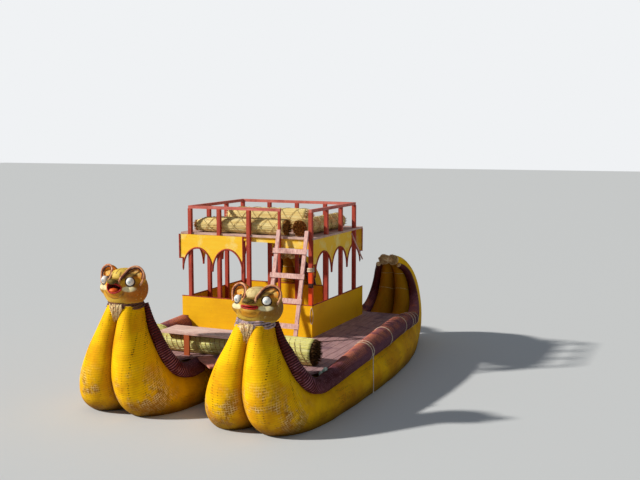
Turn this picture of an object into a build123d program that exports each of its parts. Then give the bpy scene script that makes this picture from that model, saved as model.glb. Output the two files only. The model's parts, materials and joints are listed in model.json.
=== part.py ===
from build123d import *
from collections import namedtuple
from math import acos, cos, degrees, hypot, radians, sin, tan
import os

# A twin hulled reed boat with a two storey cabin. Sizes in millimetres, +Z up.
# The bow points to -Y. The origin is on the boat's middle plane, half way along
# it, at the height of the hulls' lowest point.

boat_middle = -188         # half way between the bows and the sterns in the drawing below

# Hulls: two reed bundles side by side, curled up at both ends
hull_pitch = 2500          # between the middle planes of the two hulls
bundle_meet = 0.44         # share of a bundle's width from the middle plane to its own centre
left_neck_rise = 120       # the left bow stands this much higher
neck_foot = 1100           # inner face height where that rise begins
neck_blend = 900           # and how much further up it is whole
roll_seat = 0.15           # share of a gunwale roll's radius sunk into its bundle
seat_clearance = 10
seat_step = 0.05           # degrees, to find the seat's two edges
deck_stations = slice(4, 14)  # the stations beside the deck, in order from bow to stern
bow_roll_stations = 7      # the inner rolls stop at the deck's two ends
stern_roll_stations = 7
outer_roll_spans = 10      # between the sections of a roll
inner_roll_spans = 3
cut_margin = 10            # how far a cut runs past an open edge

# Deck
deck_top = 1100
deck_board = 40            # thickness
deck_board_width = 185
board_gap = 12
board_gap_depth = 9
deck_front = -2820
deck_back = 2420
deck_clearance = 15        # from the gunwale rolls and the hull ends
deck_side_rows = (-2300, -1400, -500, 400, 1250, 1900)  # where its sides bend
tongue_front = -3150       # the deck's forward tongue over each hull
tongue_half_root = 690
tongue_half_tip = 560
beam_size = 80             # square beams that join the hulls under the deck
beam_half_length = 1850
beam_rows = (-1900, 1500)

# Cabin
cabin_middle = -600        # across the boat, to the left of its middle plane
cabin_front = -500         # the front posts' centre line
cabin_width = 2720         # between corner posts' centres
cabin_depth = 2220
front_bays = 4
side_bays = 3
post_size = 75
thin_post = 48             # the front post on the ladder's left
rail_top = 3600
rail_size = 60
upper_floor_top = 3050
upper_floor_board = 40
upper_floor_back = 2090    # it overhangs the back posts
panel_height = 630
panel_board = 18
panel_overrun = 50         # of the front panel, past the right corner post
panel_left_overrun = 150   # and past the left one, over the gunwale roll
panel_left_foot = 225      # above the deck
panel_back = 2100          # the side panels run on past the back posts
door_bay = 4               # the back wall's open bay, counted from the left
fascia_height = 100
fascia_board = 35
ladder_fascia_height = 190 # the deeper stretch behind the ladder

# Upper floor: it overhangs the posts
floor_left_overhang = 190
floor_side_lip = 20
floor_front_lip = 5

# Valances: boards with round arches cut between pointed drops
valance_board = 15
valance_drop = 730
valance_end_drop = 490
arch_height = 460
front_arch_count = 2
front_arch_half_width = 345
front_arch_first = 420     # from the board's left end to its first arch's middle
front_arch_pitch = 705
front_valance_length = 1480
side_arch_count = 3
side_arch_half_width = 400
side_arch_first = 522
side_arch_pitch = 812
side_valance_length = 2010
back_arch_count = 4
back_arch_first = 400
back_arch_pitch = 722
back_arch_web = 20         # board left between two arches at their foot
valance_top = upper_floor_top - upper_floor_board
strut_width = 45

# Ladder
ladder_left = 100          # its two stiles' middles
ladder_right = 705
ladder_foot_reach = 560    # how far its foot stands in front of its head
ladder_above_floor = 140
stile_width = 75
stile_depth = 40
rung_height = 90
rung_board = 25
rung_overrun = 25
rung_first = 310           # the lowest rung's middle above the deck
rung_pitch = 463
rung_count = 4

# Bench
bench_left = -1200
bench_right = 450
bench_front = -2765
bench_depth = 525
bench_top = 1512
bench_board = 42
leg_width = 110
leg_board = 35
leg_places = (-650, 330)

# Reed rolls that lie on the deck and on the upper floor
RollEnd = namedtuple("RollEnd", "x radius")
deck_roll_middle = -2490
deck_roll_shape = [
    RollEnd(-1670, 190), RollEnd(-1590, 222), RollEnd(-1420, 232), RollEnd(-1240, 180), RollEnd(-900, 176),
    RollEnd(480, 177), RollEnd(700, 222), RollEnd(1000, 235), RollEnd(1500, 235), RollEnd(1745, 228),
]
UpperRoll = namedtuple("UpperRoll", "name x y turn length radius")
upper_rolls = [
    UpperRoll("upper_front_roll", -875, -293, 0, 2000, 165),
    UpperRoll("upper_middle_roll", -860, 900, 0, 1830, 225),
    UpperRoll("upper_right_roll", 455, 620, 90, 1960, 165),
]
roll_end_round = 45
gangplank_length = 760
gangplank_width = 270
gangplank_board = 30
gangplank_turn = -42
gangplank_middle = (25, -3060)

# A rope's tail that hangs outboard from its tie on the right gunwale roll
rope_diameter = 14
rope_route = [(2340, -1240, 1105), (2343, -1237, 955), (2338, -1229, 800), (2342, -1222, 645), (2340, -1212, 500),
              (2340, -1212, 380)]
arc_share = 0.45           # of the shorter run beside a bend
knot_radius = 16
knot_flat = 12             # from the knot's middle up to the rope's end

# Heads, measured from the middle of the neck's flat top
right_head_shift = (40, 60)  # the right head sits off its neck's middle
skull = (410, 340, 330)
skull_middle = 250
muzzle = (175, 120, 85)
muzzle_place = (0, -255, 355)
jaw = (165, 115, 70)
jaw_place = (0, -245, 255)
mouth = (150, 80, 30)
mouth_place = (0, -365, 318)
nose = (62, 55, 42)
nose_place = (0, -372, 398)
eye_radius = 70
eye_place = (255, -195, 400)
ear_radius = 185
ear_board = 95
ear_rim = 38
ear_dish = 35
ear_place = (250, -20, 430)

Station = namedtuple("Station", "outer_y outer_z inner_y inner_z width roll_angle roll_radius")
# From the bow's neck to the stern's tip: where the hull's outer and inner faces
# lie in its middle plane, one bundle's width, and the gunwale roll beside it.
hull_stations = [
    Station(-3960, 2035, -3450, 2035, 295, 38, 75),
    Station(-4130, 1680, -3485, 1700, 430, 38, 92),
    Station(-4280, 1290, -3460, 1430, 600, 38, 108),
    Station(-4340, 890, -3420, 1270, 730, 39, 119),
    Station(-4190, 470, -3300, 1110, 865, 41, 130),
    Station(-3760, 180, -3120, 1035, 960, 44, 139),
    Station(-3100, 50, -2850, 1015, 1025, 48, 150),
    Station(-2250, 12, -2150, 1035, 1060, 52, 167),
    Station(-1200, 2, -1180, 1055, 1070, 56, 187),
    Station(0, 2, 0, 1060, 1060, 60, 200),
    Station(1250, 4, 1200, 1055, 950, 62, 190),
    Station(2350, 45, 2100, 1040, 780, 58, 162),
    Station(3200, 200, 2500, 1080, 630, 51, 135),
    Station(3760, 540, 2680, 1290, 530, 45, 116),
    Station(3960, 1000, 2750, 1510, 465, 42, 102),
    Station(3880, 1520, 2770, 1750, 400, 41, 88),
    Station(3500, 1990, 2740, 1960, 335, 40, 76),
    Station(3010, 2290, 2690, 2080, 275, 40, 66),
    Station(2590, 2400, 2570, 2160, 235, 40, 56),
]

os.makedirs("parts", exist_ok=True)
made = {}


def keep(name, shape):
    """Write one piece to its own file, with the boat's middle at the origin."""
    solids = shape.solids()
    made[name] = Pos(0, -boat_middle, 0) * (solids[0] if len(solids) == 1 else Compound(children=solids))
    export_step(made[name], f"parts/{name}.step")
    print(name, len(solids))


def box(x0, x1, y0, y1, z0, z1):
    """A block between two corners."""
    return Pos((x0 + x1) / 2, (y0 + y1) / 2, (z0 + z1) / 2) * Box(x1 - x0, y1 - y0, z1 - z0)


def raised(station, rise):
    """The same station with the bow's neck lifted."""
    if station.outer_y > 0:
        return station
    share = max(0, min(1, (station.inner_z - neck_foot) / neck_blend))
    return station._replace(outer_z=station.outer_z + rise * share, inner_z=station.inner_z + rise * share)


def station_plane(station):
    """The section's own plane: X across the boat, Y from the outer to the inner face."""
    up_y = station.inner_y - station.outer_y
    up_z = station.inner_z - station.outer_z
    middle = (0, (station.outer_y + station.inner_y) / 2, (station.outer_z + station.inner_z) / 2)
    return Plane(origin=middle, x_dir=(1, 0, 0), z_dir=(0, -up_z, up_y))


def half_height(station):
    return hypot(station.inner_y - station.outer_y, station.inner_z - station.outer_z) / 2


def roll_place(station):
    """The gunwale roll's centre in the section: on the bundle's inner shoulder, a little sunk."""
    centre = bundle_meet * station.width
    reach = station.width - centre
    tall = half_height(station)
    turn = radians(station.roll_angle)
    slope_x, slope_y = cos(turn) / reach, sin(turn) / tall
    lift = station.roll_radius * (1 - roll_seat) / hypot(slope_x, slope_y)
    return centre + reach * cos(turn) + lift * slope_x, tall * sin(turn) + lift * slope_y


def roll_centre(station):
    across, up = roll_place(station)
    return station_plane(station).from_local_coords(Vector(across, up, 0))


def seat_angle(station, start, step):
    """Where the bundle's ellipse comes clear of the roll, going from the roll's middle by steps."""
    centre = bundle_meet * station.width
    reach = station.width - centre
    tall = half_height(station)
    roll_x, roll_y = roll_place(station)
    clear = station.roll_radius + seat_clearance
    turn = start
    while hypot(centre + reach * cos(radians(turn)) - roll_x, tall * sin(radians(turn)) - roll_y) < clear:
        turn += step
    return turn


def bundle_section(station):
    """An ellipse, flat where the hull's two bundles meet and hollowed where the roll lies."""
    centre = bundle_meet * station.width
    reach = station.width - centre
    tall = half_height(station)
    half_turn = degrees(acos(-centre / reach))
    low = seat_angle(station, station.roll_angle, -seat_step)
    high = seat_angle(station, station.roll_angle, seat_step)
    outer_arc = EllipticalCenterArc((centre, 0), reach, tall, -half_turn, arc_size=half_turn + low)
    inner_arc = EllipticalCenterArc((centre, 0), reach, tall, high, arc_size=half_turn - high)
    roll_middle = Vector(*roll_place(station))
    towards = (outer_arc @ 1 + inner_arc @ 0) / 2 - roll_middle
    bottom = roll_middle + towards.normalized() * (station.roll_radius + seat_clearance)
    seat = ThreePointArc(outer_arc @ 1, bottom, inner_arc @ 0)
    flat = Line(inner_arc @ 1, outer_arc @ 0)
    return station_plane(station) * make_face([outer_arc, seat, inner_arc, flat])


def between(place, marks, values):
    """The value at a place, read in a straight line between the marks on its two sides."""
    for low, high, start, end in zip(marks, marks[1:], values, values[1:]):
        if place <= high:
            return start + (end - start) * (place - low) / (high - low)
    return values[-1]


def gunwale_roll(stations, spans):
    """A round roll swept along the bundle's inner shoulder, its sections square to its path."""
    centres = [roll_centre(station) for station in stations]
    path = Spline(*centres)
    marks = [0]
    for start, end in zip(centres, centres[1:]):
        marks.append(marks[-1] + (end - start).length)
    radii = [station.roll_radius for station in stations]
    rings = []
    for number in range(spans + 1):
        share = number / spans
        ring = Circle(between(share * marks[-1], marks, radii))
        rings.append(Plane(origin=path @ share, x_dir=(1, 0, 0), z_dir=path % share) * ring)
    return sweep(sections=rings, path=path, multisection=True)


def largest(shape):
    """The biggest solid of a cut, without the slivers beside it."""
    return max(shape.solids(), key=lambda solid: solid.volume)


def trimmed(bundle):
    """A bundle cut flat under the deck and notched for its beams."""
    for block in [deck_blank, *beams]:
        bundle = largest(bundle - block)
    return bundle


def deck_half_width(y):
    """Half the deck's width at y, clear of the gunwale rolls."""
    beside = hull_stations[deck_stations]
    centres = [roll_centre(station) for station in beside]
    edges = [centre.X - station.roll_radius for centre, station in zip(centres, beside)]
    return hull_pitch / 2 + between(y, [centre.Y for centre in centres], edges) - deck_clearance


def deck_outline():
    """The deck between the gunwale rolls, with a tongue forward over each hull."""
    right = [(deck_half_width(y), y) for y in (deck_front, *deck_side_rows, deck_back)]
    hull = hull_pitch / 2
    tongue = [(hull - tongue_half_root, deck_front), (hull - tongue_half_tip, tongue_front),
              (hull + tongue_half_tip, tongue_front), (hull + tongue_half_root, deck_front)]
    half = tongue + right
    points = half + [(-x, y) for x, y in reversed(half)]
    return make_face(Polyline(points, close=True))


def ellipsoid(half_sizes, place):
    return Pos(*place) * scale(Sphere(1), by=half_sizes)


def valance(length, arches, half_width):
    """An arched board in its own plane: X along it from its left end, Y up from its top edge."""
    board = Pos(length / 2, -valance_drop / 2) * Rectangle(length, valance_drop)
    for middle in arches:
        board = board - Pos(middle, -valance_drop) * Ellipse(half_width, arch_height)
    first, last = arches[0] - half_width, arches[-1] + half_width
    trim = valance_drop - valance_end_drop
    for near, far in ((0, first), (last, length)):
        if far > near:
            board = board - Pos((near + far) / 2, -valance_drop + trim / 2) * Rectangle(far - near, trim)
    return extrude(board, valance_board)


def rope_tube(points, diameter):
    """A round rope on straight runs joined by tangent arcs, as wide as the runs allow."""
    points = [Vector(*point) for point in points]
    runs = []
    start = points[0]
    for before, corner, after in zip(points, points[1:], points[2:]):
        into, out = corner - before, after - corner
        reach = arc_share * min(into.length, out.length)
        arc_start = corner - into.normalized() * reach
        arc_end = corner + out.normalized() * reach
        turn = radians(into.get_angle(out))
        print("rope arc radius", round(reach / tan(turn / 2)))
        runs += [Line(start, arc_start), TangentArc(arc_start, arc_end, tangent=into)]
        start = arc_end
    runs.append(Line(start, points[-1]))
    end = Plane(origin=points[0], z_dir=points[1] - points[0]) * Circle(diameter / 2)
    return sweep(end, path=Wire(runs))


# Cabin walls
half_cabin = cabin_width / 2
half_post = post_size / 2
cabin_left = cabin_middle - half_cabin
cabin_right = cabin_middle + half_cabin
cabin_back = cabin_front + cabin_depth
front_face = cabin_front - half_post
back_face = cabin_back + half_post
left_face = cabin_left - half_post - panel_board
post_top = rail_top - rail_size

# The deck runs out under the cabin's left wall
deck_bottom = deck_top - deck_board
deck_blank = Pos(0, 0, deck_bottom) * extrude(deck_outline(), deck_board)
deck_blank = deck_blank + box(left_face, cabin_middle, front_face - panel_board, back_face + panel_board,
                              deck_bottom, deck_top)

# Beams under the deck
beams = []
for row in beam_rows:
    beams.append(box(-beam_half_length, beam_half_length, row - beam_size / 2, row + beam_size / 2,
                     deck_bottom - beam_size, deck_bottom))
for number, beam in enumerate(beams, 1):
    keep(f"deck_beam_{number}", beam)

# Cabin posts
front_places = [cabin_left + cabin_width * i / front_bays for i in range(front_bays + 1)]
side_places = [cabin_front + cabin_depth * i / side_bays for i in range(side_bays + 1)]


def post(x, y, size=post_size):
    return box(x - size / 2, x + size / 2, y - size / 2, y + size / 2, deck_top, post_top)


posts = {}
for number, x in enumerate(front_places, 1):
    size = thin_post if number == front_bays else post_size
    posts[f"front_post_{number}"] = post(x, cabin_front, size)
    posts[f"back_post_{number}"] = post(x, cabin_back)
for number, y in enumerate(side_places[1:-1], 1):
    posts[f"left_post_{number}"] = post(cabin_left, y)
    posts[f"right_post_{number}"] = post(cabin_right, y)

# Low wall panels around the cabin
panel_top = deck_top + panel_height
panels = {
    "front_panel": box(cabin_left - half_post, cabin_right + panel_overrun, front_face - panel_board,
                       front_face, deck_top, panel_top)
    + box(cabin_left - half_post - panel_left_overrun, cabin_left - half_post, front_face - panel_board,
          front_face, deck_top + panel_left_foot, panel_top),
    "right_panel": box(cabin_right + half_post, cabin_right + half_post + panel_board, front_face,
                       panel_back, deck_top, panel_top),
    "left_panel": box(left_face, cabin_left - half_post, front_face, panel_back, deck_top, panel_top),
    "back_panel": box(cabin_left - half_post, front_places[door_bay - 1] + half_post, back_face,
                      back_face + panel_board, deck_top, panel_top),
}

# The cabin and its deck stand in a notch of the left gunwale roll
cabin_notch = box(left_face, cabin_middle, front_face - panel_board, panel_back, deck_bottom, post_top)

# Hulls
at_hull = Pos(hull_pitch / 2, 0, 0)
for side, rise in (("right", 0), ("left", left_neck_rise)):
    stations = [raised(s, rise) for s in hull_stations]
    bundle = loft([bundle_section(s) for s in stations])
    outer_roll = at_hull * gunwale_roll(stations, outer_roll_spans)
    bow_roll = at_hull * mirror(gunwale_roll(stations[:bow_roll_stations], inner_roll_spans), Plane.YZ)
    stern_roll = at_hull * mirror(gunwale_roll(stations[-stern_roll_stations:], inner_roll_spans), Plane.YZ)
    if side == "left":
        outer_roll = largest(outer_roll - mirror(cabin_notch, Plane.YZ))
    pieces = {
        "hull_outer_bundle": trimmed(at_hull * bundle),
        "hull_inner_bundle": trimmed(at_hull * mirror(bundle, Plane.YZ)),
        "gunwale_roll": outer_roll,
        "inner_bow_roll": bow_roll,
        "inner_stern_roll": stern_roll,
    }
    for name, shape in pieces.items():
        if side == "left":
            shape = mirror(shape, Plane.YZ)
        keep(f"{side}_{name}", shape)

# Deck with the gaps between its boards
deck = deck_blank
deck_half = max(deck_half_width(deck_front), -left_face)
gap_count = int(deck_half / deck_board_width)
for number in range(-gap_count, gap_count + 1):
    x = number * deck_board_width
    deck = deck - box(x - board_gap / 2, x + board_gap / 2, tongue_front - cut_margin, deck_back + cut_margin,
                      deck_top - board_gap_depth, deck_top + cut_margin)
keep("deck", deck)

for name, shape in posts.items():
    keep(name, shape)
for name, shape in panels.items():
    keep(name, shape)

# Upper floor, notched around the posts that pass it
floor_left = cabin_left - half_post - floor_left_overhang
floor_right = cabin_right + half_post
upper_floor = box(floor_left, floor_right + floor_side_lip, cabin_front - floor_front_lip, upper_floor_back,
                  upper_floor_top - upper_floor_board, upper_floor_top)
for shape in posts.values():
    upper_floor = upper_floor - shape
upper_gap_count = int((upper_floor_back - cabin_front) / deck_board_width)
for number in range(1, upper_gap_count + 1):
    y = cabin_front + number * deck_board_width
    upper_floor = upper_floor - box(floor_left - cut_margin, floor_right + floor_side_lip + cut_margin,
                                    y - board_gap / 2, y + board_gap / 2, upper_floor_top - board_gap_depth,
                                    upper_floor_top + cut_margin)
keep("upper_floor", largest(upper_floor))

# The beam behind the front posts, deeper behind the ladder
fascia_front = cabin_front + half_post
fascia = box(cabin_left, cabin_right, fascia_front, fascia_front + fascia_board, valance_top - fascia_height,
             valance_top)
fascia = fascia + box(front_places[-2], cabin_right, fascia_front, fascia_front + fascia_board,
                      valance_top - ladder_fascia_height, valance_top)
keep("fascia_beam", fascia)

# Valances
side_arches = [side_arch_first + side_arch_pitch * i for i in range(side_arch_count)]
front_arches = [front_arch_first + front_arch_pitch * i for i in range(front_arch_count)]
back_arches = [back_arch_first + back_arch_pitch * i for i in range(back_arch_count)]
back_valance_length = floor_right - floor_left
front_valance = Plane(origin=(floor_left, front_face, valance_top), x_dir=(1, 0, 0), z_dir=(0, -1, 0))
right_valance = Plane(origin=(floor_right, front_face, valance_top), x_dir=(0, 1, 0), z_dir=(1, 0, 0))
left_valance = Plane(origin=(floor_left, front_face + side_valance_length, valance_top), x_dir=(0, -1, 0),
                     z_dir=(-1, 0, 0))
back_valance = Plane(origin=(floor_right, upper_floor_back, valance_top), x_dir=(-1, 0, 0), z_dir=(0, 1, 0))
keep("front_valance", front_valance * valance(front_valance_length, front_arches, front_arch_half_width))
keep("right_valance", right_valance * valance(side_valance_length, side_arches, side_arch_half_width))
left_arches = [side_valance_length - middle for middle in reversed(side_arches)]
keep("left_valance", left_valance * valance(side_valance_length, left_arches, side_arch_half_width))
keep("back_valance", back_valance * valance(back_valance_length, back_arches, (back_arch_pitch - back_arch_web) / 2))

# A loose batten from the right valance's end to the back valance's foot
strut_top = (front_face + side_valance_length - strut_width, valance_top - strut_width)
strut_foot = (upper_floor_back + valance_board, valance_top - valance_drop + strut_width)
strut = Polyline([(strut_top[0] - strut_width / 2, strut_top[1]), (strut_top[0] + strut_width / 2, strut_top[1]),
                  (strut_foot[0], strut_foot[1]), (strut_foot[0] - strut_width, strut_foot[1])], close=True)
strut_plane = Plane(origin=(floor_right + valance_board, 0, 0), x_dir=(0, 1, 0), z_dir=(1, 0, 0))
keep("corner_batten", strut_plane * extrude(make_face(strut), valance_board))

# Top rail: open in front where the ladder arrives
rail_bottom = rail_top - rail_size
half_rail = rail_size / 2
rail = box(cabin_left - half_rail, front_places[-2] + half_rail, cabin_front - half_rail, cabin_front + half_rail,
           rail_bottom, rail_top)
for x in (cabin_left, cabin_right):
    rail = rail + box(x - half_rail, x + half_rail, cabin_front - half_rail, cabin_back + half_rail, rail_bottom,
                      rail_top)
rail = rail + box(cabin_left - half_rail, cabin_right + half_rail, cabin_back - half_rail, cabin_back + half_rail,
                  rail_bottom, rail_top)
keep("top_rail", rail)

# Ladder: it leans on the front posts
ladder_top = upper_floor_top + ladder_above_floor
ladder_rise = ladder_top - deck_top


def ladder_front(z):
    """The front of the stiles at height z."""
    return front_face - stile_depth - ladder_foot_reach * (ladder_top - z) / ladder_rise


def leaning_board(z0, z1, thickness, x0, x1, back_offset):
    """A board that leans with the ladder between two heights."""
    outline = [(ladder_front(z0) - back_offset, z0), (ladder_front(z0) - back_offset + thickness, z0),
               (ladder_front(z1) - back_offset + thickness, z1), (ladder_front(z1) - back_offset, z1)]
    plane = Plane(origin=(x0, 0, 0), x_dir=(0, 1, 0), z_dir=(1, 0, 0))
    return plane * extrude(make_face(Polyline(outline, close=True)), x1 - x0)


half_stile = stile_width / 2
ladder = leaning_board(deck_top, ladder_top, stile_depth, ladder_left - half_stile, ladder_left + half_stile, 0)
ladder = ladder + leaning_board(deck_top, ladder_top, stile_depth, ladder_right - half_stile,
                                ladder_right + half_stile, 0)
for number in range(rung_count):
    middle = deck_top + rung_first + rung_pitch * number
    ladder = ladder + leaning_board(middle - rung_height / 2, middle + rung_height / 2, rung_board,
                                    ladder_left - half_stile - rung_overrun,
                                    ladder_right + half_stile + rung_overrun, rung_board)
keep("ladder", ladder)

# Bench over the deck's reed roll
bench_back = bench_front + bench_depth
bench = box(bench_left, bench_right, bench_front, bench_back, bench_top - bench_board, bench_top)
for x in leg_places:
    for near in (bench_front, bench_back - leg_board):
        bench = bench + box(x - leg_width / 2, x + leg_width / 2, near, near + leg_board, deck_top,
                            bench_top - bench_board)
keep("bench", bench)

# Reed rolls
deck_roll_sections = []
for end in deck_roll_shape:
    plane = Plane(origin=(end.x, deck_roll_middle, deck_top + end.radius), x_dir=(0, 1, 0), z_dir=(1, 0, 0))
    deck_roll_sections.append(plane * Circle(end.radius))
keep("deck_reed_roll", loft(deck_roll_sections, ruled=True))
for roll in upper_rolls:
    bar = Cylinder(roll.radius, roll.length, rotation=(0, 90, 0))
    bar = fillet(bar.edges().filter_by(GeomType.CIRCLE), roll_end_round)
    keep(roll.name, Pos(roll.x, roll.y, upper_floor_top + roll.radius) * Rot(0, 0, roll.turn) * bar)

# A loose plank on the inner bow rolls
gangplank = Box(gangplank_length, gangplank_width, gangplank_board)
keep("gangplank", Pos(*gangplank_middle, deck_top + gangplank_board / 2) * Rot(0, 0, gangplank_turn) * gangplank)

# Rope tail and its knot
keep("rope_tail", rope_tube(rope_route, rope_diameter))
knot = Sphere(knot_radius) - box(-knot_radius, knot_radius, -knot_radius, knot_radius, knot_flat, knot_radius)
keep("rope_knot", Pos(rope_route[-1][0], rope_route[-1][1], rope_route[-1][2] - knot_flat) * knot)

# Heads
neck = hull_stations[0]
neck_y = (neck.outer_y + neck.inner_y) / 2
below_neck = box(-2 * skull[0], 2 * skull[0], -2 * skull[1], 2 * skull[1], -2 * skull[2], 0)
for side, sign, rise, shift in (("right", 1, 0, right_head_shift), ("left", -1, left_neck_rise, (0, 0))):
    place = Pos(sign * hull_pitch / 2 + shift[0], neck_y + shift[1], neck.outer_z + rise)
    head = ellipsoid(skull, (0, 0, skull_middle)) + ellipsoid(muzzle, muzzle_place) + ellipsoid(jaw, jaw_place)
    head = head - ellipsoid(mouth, mouth_place) - below_neck
    eyes = {}
    ears = {}
    for label, way in (("left", -1), ("right", 1)):
        eyes[label] = Pos(way * eye_place[0], eye_place[1], eye_place[2]) * Sphere(eye_radius)
        ear_at = Pos(way * ear_place[0], ear_place[1], ear_place[2])
        ear = Cylinder(ear_radius, ear_board, rotation=(90, 0, 0))
        dish = Pos(0, -ear_board / 2, 0) * Cylinder(ear_radius - ear_rim, 2 * ear_dish, rotation=(90, 0, 0))
        ears[label] = ear_at * (ear - dish)
    skin = head
    for label in eyes:
        head = head - eyes[label]
        ear = ears[label] - skin
        keep(f"{side}_head_{label}_ear", place * largest(ear - eyes[label]))
        keep(f"{side}_head_{label}_eye", place * eyes[label])
    snout = ellipsoid(nose, nose_place)
    keep(f"{side}_head_nose", place * largest(snout - skin))
    keep(f"{side}_head", place * largest(head))
print("pieces", len(made))
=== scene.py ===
import bpy
import bmesh
import json
import math
import random
import numpy as np
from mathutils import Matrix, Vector
from mathutils.bvhtree import BVHTree

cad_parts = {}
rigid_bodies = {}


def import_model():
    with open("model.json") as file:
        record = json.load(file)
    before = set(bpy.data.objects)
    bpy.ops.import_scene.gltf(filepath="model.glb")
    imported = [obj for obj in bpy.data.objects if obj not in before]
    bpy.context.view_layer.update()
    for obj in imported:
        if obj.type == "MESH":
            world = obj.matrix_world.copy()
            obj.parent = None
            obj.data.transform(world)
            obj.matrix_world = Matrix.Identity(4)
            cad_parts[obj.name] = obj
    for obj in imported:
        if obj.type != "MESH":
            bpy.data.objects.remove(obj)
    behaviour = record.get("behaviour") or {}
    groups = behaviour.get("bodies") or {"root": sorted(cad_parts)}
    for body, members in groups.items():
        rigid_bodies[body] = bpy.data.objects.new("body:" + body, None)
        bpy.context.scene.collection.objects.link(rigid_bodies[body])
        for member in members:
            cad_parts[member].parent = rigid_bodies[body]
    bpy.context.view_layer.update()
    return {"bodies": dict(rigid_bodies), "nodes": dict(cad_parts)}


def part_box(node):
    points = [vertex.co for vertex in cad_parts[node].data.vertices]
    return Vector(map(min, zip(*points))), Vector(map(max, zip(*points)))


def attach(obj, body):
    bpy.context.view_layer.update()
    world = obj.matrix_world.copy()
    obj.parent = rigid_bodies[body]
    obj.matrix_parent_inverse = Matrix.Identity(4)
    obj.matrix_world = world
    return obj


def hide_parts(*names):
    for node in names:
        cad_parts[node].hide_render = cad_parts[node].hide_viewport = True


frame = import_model()
nodes = frame["nodes"]
body = sorted(frame["bodies"])[0]
print("frame loaded,", len(nodes), "nodes on", body)


# Small tools

def linear(hexColour):
    # sRGB hex to the linear values that a shader socket takes
    parts = [int(hexColour[i:i + 2], 16) / 255 for i in (1, 3, 5)]
    return tuple(p / 12.92 if p <= 0.04045 else ((p + 0.055) / 1.055) ** 2.4 for p in parts) + (1.0,)


def addNode(tree, kind, inputs=None, **settings):
    node = tree.nodes.new(kind)
    for name, value in settings.items():
        setattr(node, name, value)
    for key, value in (inputs or {}).items():
        if isinstance(value, bpy.types.NodeSocket):
            tree.links.new(value, node.inputs[key])
        else:
            node.inputs[key].default_value = value
    return node


def addObject(name, data):
    thing = bpy.data.objects.new(name, data)
    bpy.context.scene.collection.objects.link(thing)
    return thing


def addSmooth(name, mesh, material):
    mesh.materials.append(material)
    mesh.polygons.foreach_set("use_smooth", [True] * len(mesh.polygons))
    mesh.update()
    return addObject(name, mesh)


def newPiece(name, points, edges, faces, material, uvs=None):
    mesh = bpy.data.meshes.new(name)
    mesh.from_pydata([tuple(p) for p in points], edges, faces)
    if uvs is not None:
        layer = mesh.uv_layers.new(name="skin")
        layer.data.foreach_set("uv", np.array(uvs, dtype=np.float32).ravel())
    return addSmooth(name, mesh, material)


def keepPiece(piece, slotName, *replaced):
    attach(piece, body)
    if replaced:
        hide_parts(*replaced)
    return piece


def bakeModifiers(piece):
    # keep the plain mesh that the modifiers make
    bpy.context.view_layer.update()
    mesh = bpy.data.meshes.new_from_object(piece.evaluated_get(bpy.context.evaluated_depsgraph_get()))
    piece.modifiers.clear()
    piece.data = mesh
    return piece


def outwards(piece):
    work = bmesh.new()
    work.from_mesh(piece.data)
    bmesh.ops.recalc_face_normals(work, faces=work.faces)
    work.to_mesh(piece.data)
    work.free()
    piece.data.update()
    return piece


def ramp(value, low, high):
    return np.clip((value - low) / (high - low), 0, 1)


def fullTurn(count):
    return np.linspace(0, 2 * np.pi, count, endpoint=False)


# Camera and light, and the floor's height and colour

view = {
    "place": (8.025, -16.09, 4.96),
    "yaw": 24.14,            # degrees to the left of straight ahead
    "pitch": 6.40,           # degrees down
    "lens": 50.9,
    "sensor": 36,
    "farthest": 500,
    "waterline": 0.3,        # the floor's height, as the hulls stand 0.3 m deep
    "floorColour": "#D3D6D8",
    "floorReach": 120,
    "sunFrom": (-0.78, -0.52, 0.56),
    "sunColour": (1.0, 0.96, 0.89),
    "sunStrength": 4.2,
    "sunSoftness": 3.0,      # degrees across
    "skyColour": "#E6EFFA",
    "skyStrength": 0.25,
    "backdrop": "#F0F2F4",
}

cameraData = bpy.data.cameras.new("camera")
cameraData.lens = view["lens"]
cameraData.sensor_width = view["sensor"]
cameraData.clip_end = view["farthest"]
camera = addObject("camera", cameraData)
yaw, pitch = math.radians(view["yaw"]), math.radians(view["pitch"])
ahead = Vector((-math.sin(yaw) * math.cos(pitch), math.cos(yaw) * math.cos(pitch), -math.sin(pitch)))
camera.location = view["place"]
camera.rotation_euler = ahead.to_track_quat("-Z", "Y").to_euler()
bpy.context.scene.camera = camera
bpy.context.scene.view_settings.view_transform = "Standard"

sunData = bpy.data.lights.new("sun", "SUN")
sunData.energy = view["sunStrength"]
sunData.angle = math.radians(view["sunSoftness"])
sunData.color = view["sunColour"]
sun = addObject("sun", sunData)
sun.rotation_euler = (-Vector(view["sunFrom"])).to_track_quat("-Z", "Y").to_euler()

world = bpy.data.worlds.new("studio")
world.use_nodes = True
worldTree = world.node_tree
worldTree.nodes.clear()
seen = addNode(worldTree, "ShaderNodeLightPath")
fill = addNode(worldTree, "ShaderNodeBackground",
               {"Color": linear(view["skyColour"]), "Strength": view["skyStrength"]})
plain = addNode(worldTree, "ShaderNodeBackground", {"Color": linear(view["backdrop"]), "Strength": 1.0})
both = addNode(worldTree, "ShaderNodeMixShader",
               {0: seen.outputs["Is Camera Ray"], 1: fill.outputs[0], 2: plain.outputs[0]})
addNode(worldTree, "ShaderNodeOutputWorld", {"Surface": both.outputs[0]})
bpy.context.scene.world = world


# Tools for materials. Patterns are sized in metres.

waveLength = 0.314159    # from band to band in a wave texture of scale 1


def newMaterial(name, roughness, shine=0.3):
    material = bpy.data.materials.new(name)
    material.use_nodes = True
    tree = material.node_tree
    tree.nodes.clear()
    shader = addNode(tree, "ShaderNodeBsdfPrincipled", {"Roughness": roughness, "Specular IOR Level": shine})
    addNode(tree, "ShaderNodeOutputMaterial", {"Surface": shader.outputs["BSDF"]})
    return material, tree, shader


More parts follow.
